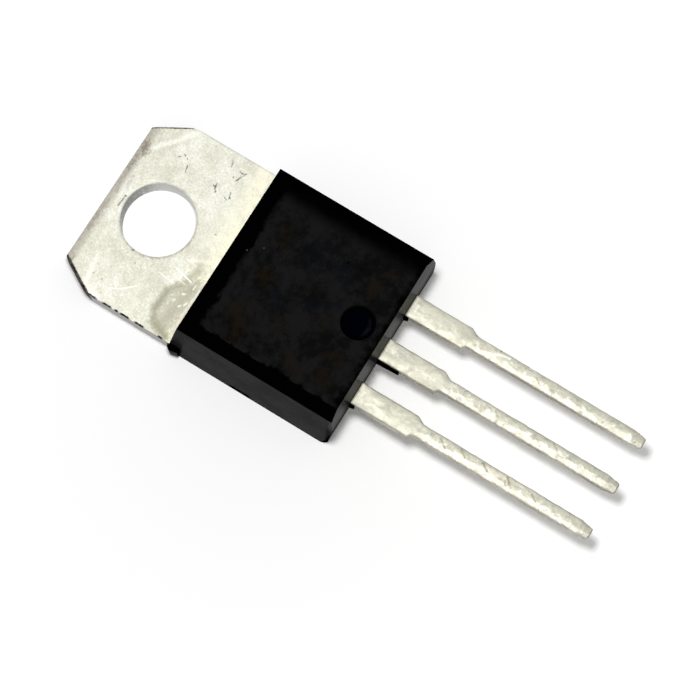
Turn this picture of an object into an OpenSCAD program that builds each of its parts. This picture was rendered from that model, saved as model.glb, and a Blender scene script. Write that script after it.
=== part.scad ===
// Triac in a three-lead power package with an insulated metal tab.
// Origin: centre of the mounting hole, on the mounting face.
// +Z points out of the front face, +Y towards the end of the tab,
// and the leads point along -Y. All lengths are in millimetres.

/* [Moulded body] */
// Thickness from the mounting face to the front face
body_h = 4.5; // [4.4:0.05:4.6]
// Length at the parting line, from the tab to the lead end
body_len = 9.25; // [9:0.05:9.5]
// Width at the mounting face
body_w = 10.35; // [10.3:0.05:10.5]
// Draft of the two long walls, in degrees
side_draft = 7; // [5:0.5:8]
// Draft of the wall above the tab, in degrees
tab_wall_draft = 9; // [5:0.5:10]
// Draft of the lead-end wall above the parting line, in degrees
lead_wall_draft = 6; // [3:0.5:8]
// Draft of the lead-end wall below the parting line, in degrees
under_draft = 4; // [2:0.5:6]
// Width of the bevel along each long side of the front face
side_bevel_w = 0.62; // [0.4:0.02:0.8]
// Width of the bevel along the tab end of the front face
tab_bevel_w = 0.85; // [0.6:0.05:1.1]
// Height of the three bevels
bevel_h = 0.6; // [0.4:0.05:0.7]
// Radius of the two upright corners at the lead end
corner_r = 0.6; // [0.3:0.05:0.8]
// Sideways offset of the mould from the middle of the tab and the leads
mould_shift = 0.06; // [0:0.01:0.1]

/* [Pin mark] */
// Diameter of the round ejector mark in the front face
pin_mark_d = 1.7; // [1.2:0.1:2.2]
// Depth of the ejector mark
pin_mark_depth = 0.16; // [0.05:0.01:0.25]
// Distance from the front face's lead-end edge to the mark's centre
pin_mark_in = 1.35; // [1.2:0.05:3]

/* [Heat sink] */
// Thickness of the tab and of the slug under the die
tab_t = 1.3; // [1.2:0.05:1.4]
// Width of the tab
tab_w = 10.05; // [9.9:0.05:10.2]
// Length of bare tab, from its end to the moulding
tab_len = 6.75; // [6.2:0.05:6.9]
// Diameter of the mounting hole
hole_d = 3.8; // [3.7:0.05:3.9]
// Distance from the tab's end to the hole's centre
hole_from_end = 2.9; // [2.65:0.05:3.05]
// Rolled-over rim of the mounting hole
hole_roll = 0.08; // [0.04:0.02:0.12]
// Corner cuts, measured across the tab
corner_cut_w = 1.04; // [0.8:0.02:1.2]
// Corner cuts, measured along the tab
corner_cut_len = 1.8; // [1.5:0.1:2.1]
// Radius that blends each corner cut into the tab's side
corner_blend_r = 2.25; // [1:0.25:2.5]
// How far the corner cuts lean in from the bottom to the top
corner_lean = 0.06; // [0.05:0.01:0.2]
// Width of the rolled-over edge at the tab's end
end_roll_w = 0.34; // [0.1:0.02:0.4]
// Height of the rolled-over edge at the tab's end
end_roll_h = 0.12; // [0.05:0.01:0.2]
// Moulding beside the slug, at the mounting face
side_cover = 0.83; // [0.6:0.01:1]
// Moulding between the slug's end and the lead-end wall
slug_end_cover = 1.1; // [0.8:0.1:1.3]
// Width of the ledge that locks the slug into the moulding
ledge_w = 0.25; // [0.15:0.05:0.35]
// Height of the ledge above the mounting face
ledge_h = 0.5; // [0.4:0.05:0.7]
// Width of the cross groove where the moulding grips the slug
groove_w = 0.32; // [0.2:0.02:0.36]
// Depth of the cross groove
groove_depth = 0.15; // [0.1:0.01:0.25]

/* [Leads] */
// Distance between neighbouring leads
pitch = 2.54; // [2.5:0.01:2.6]
// Thickness of the lead frame
lead_t = 0.6; // [0.5:0.02:0.66]
// Length of the leads outside the moulding
lead_len = 13; // [12.7:0.05:14]
// Width of the thin part of a lead
lead_w = 0.81; // [0.62:0.01:0.88]
// Width of the shoulder next to the moulding
shoulder_w = 1.22; // [1.1:0.02:1.4]
// Length of the shoulder
shoulder_len = 3.12; // [2.8:0.02:3.6]
// Length of the step from the shoulder to the thin part, on its right side
step_len = 0.42; // [0.2:0.02:0.6]
// Length of the steeper step on the left side
left_step_len = 0.14; // [0.1:0.02:0.4]
// Width of a lead's tip
tip_w = 0.52; // [0.3:0.02:0.6]
// Length of the tapered tip
tip_len = 0.65; // [0.4:0.05:1]
// Height that the tip loses from its top face
tip_drop = 0.1; // [0.1:0.02:0.3]
// Width of the anchor at the inner end of each outer lead
anchor_w = 1.9; // [1.5:0.1:2.1]
// Length of the anchor
anchor_len = 1.6; // [1.4:0.1:1.7]
// Length of the neck between the moulding's wall and an anchor
neck_len = 0.55; // [0.4:0.05:0.65]

/* [Stack under the front face] */
// Thickness of every solder joint
solder_t = 0.06; // [0.04:0.01:0.08]
// Thickness of the ceramic insulator
ceramic_t = 0.64; // [0.5:0.02:0.66]
// Slug left bare on each side of the ceramic insulator
ceramic_side_in = 0.55; // [0.4:0.05:0.7]
// Distance from the moulding's tab-end edge to the ceramic
ceramic_in = 0.7; // [0.62:0.02:0.8]
// Distance from the lead-end wall to the ceramic
ceramic_end_in = 2.05; // [1.9:0.05:2.2]
// Ceramic left bare on each side of the solder and of the plate
ceramic_rim = 0.6; // [0.4:0.05:0.7]
// Width and length of the triac die
die_size = 4.2; // [3.6:0.1:4.4]
// Thickness of the triac die
die_t = 0.3; // [0.25:0.01:0.35]
// Bare rim of the die, outside its contacts
die_rim = 0.3; // [0.2:0.05:0.4]
// Width and length of the gate contact on the die
gate_size = 0.7; // [0.5:0.05:0.8]
// Gap between the two contacts on the die
contact_gap = 0.45; // [0.35:0.05:0.6]

/* [Clips] */
// Thickness of the two clips
clip_t = 0.25; // [0.15:0.01:0.3]
// Width of the first anode's clip at its foot on the lead
anode_foot_w = 1.3; // [1:0.1:1.5]
// Width of the gate's clip at its foot on the lead
gate_foot_w = 0.7; // [0.5:0.1:1]
// Length of a clip's foot on its lead
foot_len = 1.1; // [0.9:0.05:1.2]
// Height of the clips' arch above their seats on the die
arch_rise = 0.38; // [0.3:0.02:0.45]
// Length of each sloping leg of an arch
leg_len = 0.45; // [0.35:0.05:0.5]

/* [Moulding flash] */
// Width of the flash beside each lead
flash_w = 0.12; // [0.08:0.02:0.2]
// Length of the flash beside the first anode's lead
flash_len_anode1 = 0.25; // [0.15:0.05:0.6]
// Length of the flash beside the second anode's lead
flash_len_anode2 = 1.2; // [0.8:0.05:1.8]
// Length of the flash beside the gate's lead
flash_len_gate = 0.2; // [0.15:0.05:0.6]
// Reach of the lug of flash at the tab's corner
lug_reach = 0.22; // [0.1:0.02:0.3]

/* [Hidden] */
$fn = 64;

over = 1; // how far a cutter passes the face that it cuts
blend_steps = 6; // straight steps in the blend of a corner cut

// The lug of flash at the tab's corner, between the tab's two faces
lug_z = tab_t / 4;
lug_h = tab_t * 0.7;

// Places along the part
tab_end_y = hole_from_end;
mould_y = tab_end_y - tab_len;
lead_end_y = mould_y - body_len;
tip_y = lead_end_y - lead_len;

// Heights of the stack, from the slug up
ceramic_z = tab_t + solder_t;
lead_z = ceramic_z + ceramic_t + solder_t;
lead_top = lead_z + lead_t;
die_z = lead_top + solder_t;
die_top = die_z + die_t;
seat_z = die_top + solder_t;
foot_z = lead_top + solder_t;
arch_z = seat_z + arch_rise;

// The stack in plan
slug_w = body_w - 2 * side_cover;
ceramic_w = slug_w - 2 * ceramic_side_in;
ceramic_len = body_len - ceramic_in - ceramic_end_in;
ceramic_tab_y = mould_y - ceramic_in;
plate_w = ceramic_w - 2 * ceramic_rim;
plate_len = ceramic_len - 2 * ceramic_rim;
plate_tab_y = ceramic_tab_y - ceramic_rim;
plate_lead_y = plate_tab_y - plate_len;
die_y = plate_tab_y - plate_len / 2;
contact_tab_y = die_y + die_size / 2 - die_rim;
contact_lead_y = die_y - die_size / 2 + die_rim;
contact_x = die_size / 2 - die_rim;
anode_contact_w = 2 * contact_x - gate_size - contact_gap;
anode_contact_x = -contact_x + anode_contact_w / 2;
gate_contact_x = contact_x - gate_size / 2;
contact_len = contact_tab_y - contact_lead_y;
anchor_y = lead_end_y + neck_len;
foot_lead_y = anchor_y + (anchor_len - foot_len) / 2;
foot_tab_y = foot_lead_y + foot_len;

// The body's section across the part: long walls lean in, then bevels
bevel_z = body_h - bevel_h;
bevel_x = body_w / 2 - bevel_z * tan(side_draft);
front_x = bevel_x - side_bevel_w;

// The body's section along the part
tab_bevel_y = mould_y - (bevel_z - tab_t) * tan(tab_wall_draft);
front_tab_y = tab_bevel_y - tab_bevel_w;
front_lead_y = lead_end_y + (body_h - lead_top) * tan(lead_wall_draft);
back_lead_y = lead_end_y + lead_top * tan(under_draft);

// Cutter for a leaning face along the edge from a to b of a plate whose top
// is at z. It reaches inset into the plate at the top and nothing at depth
// below it. The outside of the plate is on the right when going from a to b.
module leaning_cut(a, b, z, inset, depth) {
    edge = b - a;
    translate([a[0], a[1], z])
        rotate([0, 0, atan2(edge[1], edge[0])])
            translate([-over, 0, 0])
                rotate([90, 0, 90])
                    linear_extrude(norm(edge) + 2 * over)
                        polygon([[inset, 0], [0, -depth], [-over, -depth],
                                 [-over, over], [inset, over]]);
}

// A strip of sheet metal bent up along its length: the strip's underside
// follows path in the YZ plane and plan is its outline seen from above.
module formed_strip(path, plan, sheet_t) {
    count = len(path);
    top = [for (i = [count - 1 : -1 : 0]) path[i] + [0, sheet_t]];
    intersection() {
        translate([-body_w / 2, 0, 0])
            rotate([90, 0, 90])
                linear_extrude(body_w)
                    polygon(concat(path, top));
        linear_extrude(body_h)
            polygon(plan);
    }
}

// A flat solder joint or die between two heights
module pad(x, y, w, len, z, t) {
    translate([x - w / 2, y - len / 2, z])
        cube([w, len, t]);
}

// ---- heat sink ----

// Right-hand side of the tab's outline, from the end edge to the moulding
function tab_side() =
    let (turn = atan2(corner_cut_w, corner_cut_len),
         reach = corner_blend_r * tan(turn / 2),
         cx = tab_w / 2 - corner_blend_r,
         cy = tab_end_y - corner_cut_len - reach)
    concat([[tab_w / 2 - corner_cut_w, tab_end_y]],
           [for (i = [0 : blend_steps])
               let (a = turn * (1 - i / blend_steps))
               [cx + corner_blend_r * cos(a), cy + corner_blend_r * sin(a)]],
           [[tab_w / 2, mould_y]]);

module tab_blank() {
    right = tab_side();
    last = len(right) - 1;
    left = [for (i = [last : -1 : 0]) [-right[i][0], right[i][1]]];
    linear_extrude(tab_t)
        polygon(concat(right, left));
}

// Punching leaves the tab's end rolled over and its corner cuts leaning in
module punched_edges() {
    end_corner = [tab_w / 2 - corner_cut_w, tab_end_y];
    side_corner = [tab_w / 2, tab_end_y - corner_cut_len];
    leaning_cut(end_corner, [-end_corner[0], tab_end_y], tab_t,
                end_roll_w, end_roll_h);
    for (side = [0, 1])
        mirror([side, 0, 0])
            leaning_cut(side_corner, end_corner, tab_t, corner_lean, tab_t);
}

// The slug's lower part is narrower and shorter, which leaves the ledge
module slug() {
    slug_end_y = lead_end_y + slug_end_cover;
    slug_len = mould_y - slug_end_y;
    translate([-slug_w / 2, slug_end_y, ledge_h])
        cube([slug_w, slug_len, tab_t - ledge_h]);
    translate([-slug_w / 2 + ledge_w, slug_end_y + ledge_w, 0])
        cube([slug_w - 2 * ledge_w, slug_len - ledge_w, ledge_h]);
}

module cross_groove() {
    translate([-slug_w / 2 - over, mould_y - ceramic_in / 2, tab_t])
        rotate([90, 0, 90])
            linear_extrude(slug_w + 2 * over)
                polygon([[-groove_w / 2, 0], [0, -groove_depth],
                         [groove_w / 2, 0]]);
}

module mounting_hole() {
    translate([0, 0, -over])
        cylinder(d = hole_d, h = tab_t + 2 * over);
    translate([0, 0, tab_t - hole_roll])
        cylinder(d1 = hole_d, d2 = hole_d + 2 * hole_roll, h = hole_roll);
}

module heat_sink_tab() {
    color([0.86, 0.86, 0.8])
        difference() {
            union() {
                tab_blank();
                slug();
            }
            punched_edges();
            mounting_hole();
            cross_groove();
        }
}

// ---- insulating stack and die ----

module ceramic_solder_lower() {
    color([0.6, 0.6, 0.58])
        pad(0, die_y, plate_w, plate_len, tab_t, solder_t);
}

module ceramic_insulator() {
    color([0.94, 0.93, 0.9])
        pad(0, die_y, ceramic_w, ceramic_len, ceramic_z, ceramic_t);
}

module ceramic_solder_upper() {
    color([0.6, 0.6, 0.58])
        pad(0, die_y, plate_w, plate_len, ceramic_z + ceramic_t, solder_t);
}

module die_solder() {
    color([0.6, 0.6, 0.58])
        pad(0, die_y, die_size, die_size, lead_top, solder_t);
}

module triac_die() {
    color([0.35, 0.37, 0.4])
        pad(0, die_y, die_size, die_size, die_z, die_t);
}

// ---- leads ----

// One lead of the frame: a head inside the moulding, from head_lead_y to
// head_tab_y, then neck, shoulder, thin part and tapered tip
function lead_side(head_w, head_lead_y, head_tab_y, step) =
    let (shoulder_end_y = lead_end_y - shoulder_len)
    [[head_w / 2, head_tab_y], [head_w / 2, head_lead_y],
     [shoulder_w / 2, head_lead_y], [shoulder_w / 2, shoulder_end_y],
     [lead_w / 2, shoulder_end_y - step],
     [lead_w / 2, tip_y + tip_len], [tip_w / 2, tip_y]];

module lead(x, head_w, head_lead_y, head_tab_y) {
    right = lead_side(head_w, head_lead_y, head_tab_y, step_len);
    left = lead_side(head_w, head_lead_y, head_tab_y, left_step_len);
    last = len(left) - 1;
    left_back = [for (i = [last : -1 : 0]) [-left[i][0], left[i][1]]];
    translate([x, 0, 0])
        intersection() {
            translate([0, 0, lead_z])
                linear_extrude(lead_t)
                    polygon(concat(right, left_back));
            translate([-head_w / 2, 0, 0])
                rotate([90, 0, 90])
                    linear_extrude(head_w)
                        polygon([[tip_y, lead_z], [head_tab_y, lead_z],
                                 [head_tab_y, lead_top],
                                 [tip_y + tip_len, lead_top],
                                 [tip_y, lead_top - tip_drop]]);
        }
}

module outer_lead(x) {
    lead(x, anchor_w, anchor_y, anchor_y + anchor_len);
}

module anode1_lead() {
    color([0.85, 0.85, 0.82])
        outer_lead(-pitch);
}

module anode2_lead() {
    color([0.85, 0.85, 0.82])
        lead(0, plate_w, plate_lead_y, plate_tab_y);
}

module gate_lead() {
    color([0.85, 0.85, 0.82])
        outer_lead(pitch);
}

// ---- contacts on the die and clips to the outer leads ----

module anode1_solder() {
    color([0.6, 0.6, 0.58])
        pad(anode_contact_x, contact_lead_y + contact_len / 2,
            anode_contact_w, contact_len, die_top, solder_t);
}

module gate_solder() {
    color([0.6, 0.6, 0.58])
        pad(gate_contact_x, contact_lead_y + gate_size / 2,
            gate_size, gate_size, die_top, solder_t);
}

module post_solder(x, foot_w) {
    color([0.6, 0.6, 0.58])
        pad(x, foot_lead_y + foot_len / 2, foot_w, foot_len, lead_top, solder_t);
}

module anode1_post_solder() {
    post_solder(-pitch, anode_foot_w);
}

module gate_post_solder() {
    post_solder(pitch, gate_foot_w);
}

// A clip from a foot on an outer lead, over the edge of the plate and of
// the die, to a seat on the die
module clip(foot_x, foot_w, seat_x, seat_w, seat_len) {
    seat_end_y = contact_lead_y + seat_len;
    color([0.8, 0.52, 0.36])
        formed_strip(
            [[foot_lead_y, foot_z], [foot_tab_y, foot_z],
             [foot_tab_y + leg_len, arch_z], [contact_lead_y - leg_len, arch_z],
             [contact_lead_y, seat_z], [seat_end_y, seat_z]],
            [[foot_x - foot_w / 2, foot_lead_y], [foot_x + foot_w / 2, foot_lead_y],
             [foot_x + foot_w / 2, foot_tab_y], [seat_x + seat_w / 2, contact_lead_y],
             [seat_x + seat_w / 2, seat_end_y], [seat_x - seat_w / 2, seat_end_y],
             [seat_x - seat_w / 2, contact_lead_y], [foot_x - foot_w / 2, foot_tab_y]],
            clip_t);
}

module anode1_clip() {
    clip(-pitch, anode_foot_w, anode_contact_x, anode_contact_w, contact_len);
}

module gate_clip() {
    clip(pitch, gate_foot_w, gate_contact_x, gate_size, gate_size);
}

// ---- moulded body ----

// Section across the part: the long walls lean in, then bevels
module cross_section() {
    polygon([[-body_w / 2, 0], [body_w / 2, 0], [bevel_x, bevel_z],
             [front_x, body_h], [-front_x, body_h], [-bevel_x, bevel_z]]);
}

// Section along the part: tab-end wall and bevel, front face, and the
// lead-end wall that leans away from the parting line on both sides
module long_section() {
    polygon([[mould_y, 0], [mould_y, tab_t], [tab_bevel_y, bevel_z],
             [front_tab_y, body_h], [front_lead_y, body_h],
             [lead_end_y, lead_top], [back_lead_y, 0]]);
}

// Upright block with the two round corners of the lead end
module round_cornered_block() {
    translate([-body_w / 2, lead_end_y + corner_r, 0])
        cube([body_w, body_len - corner_r, body_h]);
    translate([-body_w / 2 + corner_r, lead_end_y, 0])
        cube([body_w - 2 * corner_r, body_len, body_h]);
    for (side = [-1, 1])
        translate([side * (body_w / 2 - corner_r), lead_end_y + corner_r, 0])
            cylinder(r = corner_r, h = body_h);
}

module body_form() {
    intersection() {
        translate([0, mould_y, 0])
            rotate([90, 0, 0])
                linear_extrude(body_len)
                    cross_section();
        translate([-body_w / 2, 0, 0])
            rotate([90, 0, 90])
                linear_extrude(body_w)
                    long_section();
        round_cornered_block();
    }
}

// Thin flash that crept out along the left side of a lead
module lead_flash(x, flash_len) {
    side_x = x - shoulder_w / 2;
    translate([0, 0, lead_z])
        linear_extrude(lead_t)
            polygon([[side_x, lead_end_y + corner_r],
                     [side_x - flash_w, lead_end_y + corner_r],
                     [side_x - flash_w, lead_end_y],
                     [side_x - flash_w / 2, lead_end_y - flash_len],
                     [side_x, lead_end_y - flash_len]]);
}

// Lug of flash that crept round the tab's left side, beside the moulding
module tab_flash() {
    side_x = -tab_w / 2;
    outer_x = side_x - 1.3 * lug_reach;
    lug_lead_y = mould_y - 2.6 * lug_reach;
    translate([0, 0, lug_z])
        linear_extrude(lug_h)
            polygon([[side_x, mould_y + 0.4 * lug_reach],
                     [side_x - 0.7 * lug_reach, mould_y + 0.2 * lug_reach],
                     [outer_x, mould_y - 0.8 * lug_reach],
                     [outer_x + 0.4 * lug_reach, lug_lead_y],
                     [-slug_w / 2, lug_lead_y],
                     [-slug_w / 2, mould_y],
                     [side_x, mould_y]]);
}

module pin_mark() {
    translate([mould_shift, front_lead_y + pin_mark_in, body_h - pin_mark_depth])
        cylinder(d = pin_mark_d, h = pin_mark_depth + over);
}

// Everything that the moulding compound flows round
module cast_in() {
    heat_sink_tab();
    ceramic_solder_lower();
    ceramic_insulator();
    ceramic_solder_upper();
    anode2_lead();
    die_solder();
    triac_die();
    anode1_solder();
    anode1_clip();
    anode1_post_solder();
    anode1_lead();
    gate_solder();
    gate_clip();
    gate_post_solder();
    gate_lead();
}

module moulded_body() {
    color([0.06, 0.06, 0.065])
        difference() {
            union() {
                translate([mould_shift, 0, 0])
                    body_form();
                lead_flash(-pitch, flash_len_anode1);
                lead_flash(0, flash_len_anode2);
                lead_flash(pitch, flash_len_gate);
                tab_flash();
            }
            pin_mark();
            cast_in();
        }
}

moulded_body();
heat_sink_tab();
ceramic_solder_lower();
ceramic_insulator();
ceramic_solder_upper();
anode2_lead();
die_solder();
triac_die();
anode1_solder();
anode1_clip();
anode1_post_solder();
anode1_lead();
gate_solder();
gate_clip();
gate_post_solder();
gate_lead();
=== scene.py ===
import math

import bmesh
import bpy
from mathutils import Matrix, Vector, noise
from mathutils.bvhtree import BVHTree


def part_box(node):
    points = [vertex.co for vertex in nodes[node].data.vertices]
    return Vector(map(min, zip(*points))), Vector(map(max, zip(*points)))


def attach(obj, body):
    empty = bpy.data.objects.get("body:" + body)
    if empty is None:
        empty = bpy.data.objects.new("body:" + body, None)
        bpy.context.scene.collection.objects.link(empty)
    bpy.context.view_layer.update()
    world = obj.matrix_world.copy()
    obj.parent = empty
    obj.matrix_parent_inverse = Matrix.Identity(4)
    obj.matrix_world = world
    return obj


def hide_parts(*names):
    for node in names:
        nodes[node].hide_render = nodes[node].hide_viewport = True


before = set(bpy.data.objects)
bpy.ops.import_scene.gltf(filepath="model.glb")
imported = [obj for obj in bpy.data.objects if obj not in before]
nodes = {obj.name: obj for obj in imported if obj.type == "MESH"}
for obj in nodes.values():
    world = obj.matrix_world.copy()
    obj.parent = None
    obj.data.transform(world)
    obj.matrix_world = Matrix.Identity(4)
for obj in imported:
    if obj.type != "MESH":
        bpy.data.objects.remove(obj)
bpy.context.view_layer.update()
mm = 0.001
print("frame loaded,", len(nodes), "nodes")

# places shared by the pieces, in millimetres
places = {
    "wallAtTab": -3.85,
    "wallAtLeads": -13.1,
    "tabTop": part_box("heat_sink_tab")[1].z / mm,
    "leadTop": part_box("gate_lead")[1].z / mm,
    "bodyTop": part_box("moulded_body")[1].z / mm,
}


# shader helpers

def newNode(tree, kind, **settings):
    node = tree.nodes.new(kind)
    for name, value in settings.items():
        setattr(node, name, value)
    return node


def feed(tree, socket, value):
    if isinstance(value, bpy.types.NodeSocket):
        tree.links.new(value, socket)
    elif value is not None:
        socket.default_value = value


def calc(tree, operation, a, b=None, c=None, clamp=False):
    node = newNode(tree, "ShaderNodeMath", operation=operation, use_clamp=clamp)
    for socket, value in zip(node.inputs, (a, b, c)):
        feed(tree, socket, value)
    return node.outputs[0]


def times(tree, a, b):
    return calc(tree, "MULTIPLY", a, b)


def plus(tree, a, b):
    return calc(tree, "ADD", a, b)


def minus(tree, a, b):
    return calc(tree, "SUBTRACT", a, b)


def vectorCalc(tree, operation, a, b=None, scale=None):
    node = newNode(tree, "ShaderNodeVectorMath", operation=operation)
    feed(tree, node.inputs[0], a)
    if b is not None:
        feed(tree, node.inputs[1], b)
    if scale is not None:
        feed(tree, node.inputs["Scale"], scale)
    return node.outputs["Value" if operation in ("DOT_PRODUCT", "LENGTH") else "Vector"]


def ease(tree, value, low, high, outLow=0.0, outHigh=1.0):
    node = newNode(tree, "ShaderNodeMapRange", interpolation_type="SMOOTHSTEP")
    for name, given in (("Value", value), ("From Min", low), ("From Max", high),
                        ("To Min", outLow), ("To Max", outHigh)):
        feed(tree, node.inputs[name], given)
    return node.outputs["Result"]


def mixColour(tree, factor, a, b, mode="MIX"):
    node = newNode(tree, "ShaderNodeMix", data_type="RGBA", blend_type=mode)
    feed(tree, node.inputs[0], factor)
    feed(tree, node.inputs[6], a)
    feed(tree, node.inputs[7], b)
    return node.outputs[2]


def noiseValue(tree, position, scale, detail=2.0, roughness=0.5, distortion=0.0):
    node = newNode(tree, "ShaderNodeTexNoise")
    for name, given in (("Vector", position), ("Scale", scale), ("Detail", detail),
                        ("Roughness", roughness), ("Distortion", distortion)):
        feed(tree, node.inputs[name], given)
    return node.outputs[0]


def newGroup(name, inputs, outputs):
    tree = bpy.data.node_groups.new(name, "ShaderNodeTree")
    kinds = {"vector": "NodeSocketVector", "float": "NodeSocketFloat", "colour": "NodeSocketColor"}
    for label, kind, value in inputs:
        socket = tree.interface.new_socket(label, in_out="INPUT", socket_type=kinds[kind])
        socket.default_value = value
    for label, kind in outputs:
        tree.interface.new_socket(label, in_out="OUTPUT", socket_type=kinds[kind])
    return tree, newNode(tree, "NodeGroupInput").outputs, newNode(tree, "NodeGroupOutput").inputs


def useGroup(tree, group, **values):
    node = newNode(tree, "ShaderNodeGroup", node_tree=group)
    for label, value in values.items():
        feed(tree, node.inputs[label], value)
    return node.outputs


def newMaterial(name, **fixed):
    material = bpy.data.materials.new(name)
    material.use_nodes = True
    tree = material.node_tree
    shader = next(n for n in tree.nodes if n.type == "BSDF_PRINCIPLED")
    for label, value in fixed.items():
        shader.inputs[label.replace("_", " ")].default_value = value
    coords = newNode(tree, "ShaderNodeTexCoord").outputs["Object"]
    position = vectorCalc(tree, "SCALE", coords, scale=1 / mm)   # object coordinates in millimetres
    return material, tree, shader, position


def addBump(tree, shader, height, distance, strength=1.0):
    node = newNode(tree, "ShaderNodeBump")
    node.inputs["Strength"].default_value = strength
    node.inputs["Distance"].default_value = distance * mm
    feed(tree, node.inputs["Height"], height)
    feed(tree, shader.inputs["Normal"], node.outputs["Normal"])


# shared effects

def buildMark():
    # one scratch, smudge or pit: a stroke from Start to End with a soft ragged outline
    tree, given, out = newGroup(
        "mark",
        [("Position", "vector", (0, 0, 0)), ("Start", "vector", (0, 0, 0)), ("End", "vector", (0, 0, 0)),
         ("Width", "float", 0.1), ("Softness", "float", 0.5), ("Raggedness", "float", 0.5)],
        [("Mask", "float")])
    flat = vectorCalc(tree, "MULTIPLY", given["Position"], (1, 1, 0))
    along = vectorCalc(tree, "SUBTRACT", given["End"], given["Start"])
    away = vectorCalc(tree, "SUBTRACT", flat, given["Start"])
    share = calc(tree, "DIVIDE", vectorCalc(tree, "DOT_PRODUCT", away, along),
                 plus(tree, vectorCalc(tree, "DOT_PRODUCT", along, along), 1e-6), clamp=True)
    nearest = vectorCalc(tree, "SCALE", along, scale=share)
    distance = vectorCalc(tree, "LENGTH", vectorCalc(tree, "SUBTRACT", away, nearest))
    wobble = minus(tree, noiseValue(tree, flat, 7.0, 3.0, 0.6), 0.5)
    wobble = times(tree, wobble, times(tree, given["Raggedness"], given["Width"]))
    reach = times(tree, given["Width"], 0.5)
    inner = times(tree, reach, minus(tree, 1.0, given["Softness"]))
    feed(tree, out["Mask"], ease(tree, plus(tree, distance, wobble), inner, reach, 1.0, 0.0))
    return tree


def buildMottle():
    # broad patches with finer ones inside them, and a fine grain
    tree, given, out = newGroup(
        "mottle",
        [("Position", "vector", (0, 0, 0)), ("Scale", "float", 1.0), ("Contrast", "float", 1.0)],
        [("Patches", "float"), ("Grain", "float"), ("Blotches", "float")])
    broad = noiseValue(tree, given["Position"], given["Scale"], 4.0, 0.6, 0.4)
    spread = times(tree, minus(tree, broad, 0.5), given["Contrast"])
    feed(tree, out["Patches"], calc(tree, "ADD", spread, 0.5, clamp=True))
    fine = noiseValue(tree, given["Position"], times(tree, given["Scale"], 9.0), 3.0, 0.65)
    feed(tree, out["Grain"], fine)
    moved = vectorCalc(tree, "ADD", given["Position"], (17.3, 5.1, 3.7))
    blot = noiseValue(tree, moved, times(tree, given["Scale"], 2.2), 2.0, 0.5, 0.8)
    feed(tree, out["Blotches"], ease(tree, blot, 0.52, 0.68))
    return tree


def buildHairlines():
    # long thin handling scratches that all run about one way
    tree, given, out = newGroup(
        "hairlines",
        [("Position", "vector", (0, 0, 0)), ("Angle", "float", 0.0), ("Amount", "float", 0.5)],
        [("Lines", "float")])
    turn = newNode(tree, "ShaderNodeVectorRotate", rotation_type="Z_AXIS")
    feed(tree, turn.inputs["Vector"], given["Position"])
    feed(tree, turn.inputs["Angle"], given["Angle"])
    thin = vectorCalc(tree, "MULTIPLY", turn.outputs["Vector"], (0.5, 14.0, 1.0))
    lines = noiseValue(tree, thin, 1.0, 3.0, 0.7, 0.2)
    gate = noiseValue(tree, given["Position"], 0.9, 1.0, 0.5)
    lines = times(tree, ease(tree, lines, 0.6, 0.72), ease(tree, gate, 0.42, 0.6))
    feed(tree, out["Lines"], times(tree, lines, given["Amount"]))
    return tree


effects = {"mark": buildMark(), "mottle": buildMottle(), "hairlines": buildHairlines()}
print("shader groups:", ", ".join(effects))


def markLayer(tree, position, marks):
    # the strongest of several strokes, each (x, y, x, y, width, strength, softness, raggedness)
    total = None
    for x0, y0, x1, y1, width, strength, softness, raggedness in marks:
        mask = useGroup(tree, effects["mark"], Position=position, Start=(x0, y0, 0), End=(x1, y1, 0),
                        Width=width, Softness=softness, Raggedness=raggedness)["Mask"]
        mask = times(tree, mask, strength)
        total = mask if total is None else calc(tree, "MAXIMUM", total, mask)
    return total


def addUp(tree, parts):
    # several values that lie round 0.5, each with its weight, summed round 0.5
    total = 0.5
    for value, weight in parts:
        part = times(tree, minus(tree, value, 0.5), weight)
        total = plus(tree, part, total)
    return total


def faceValue(tree, name):
    return newNode(tree, "ShaderNodeAttribute", attribute_name=name).outputs["Fac"]


# moulding compound

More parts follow.
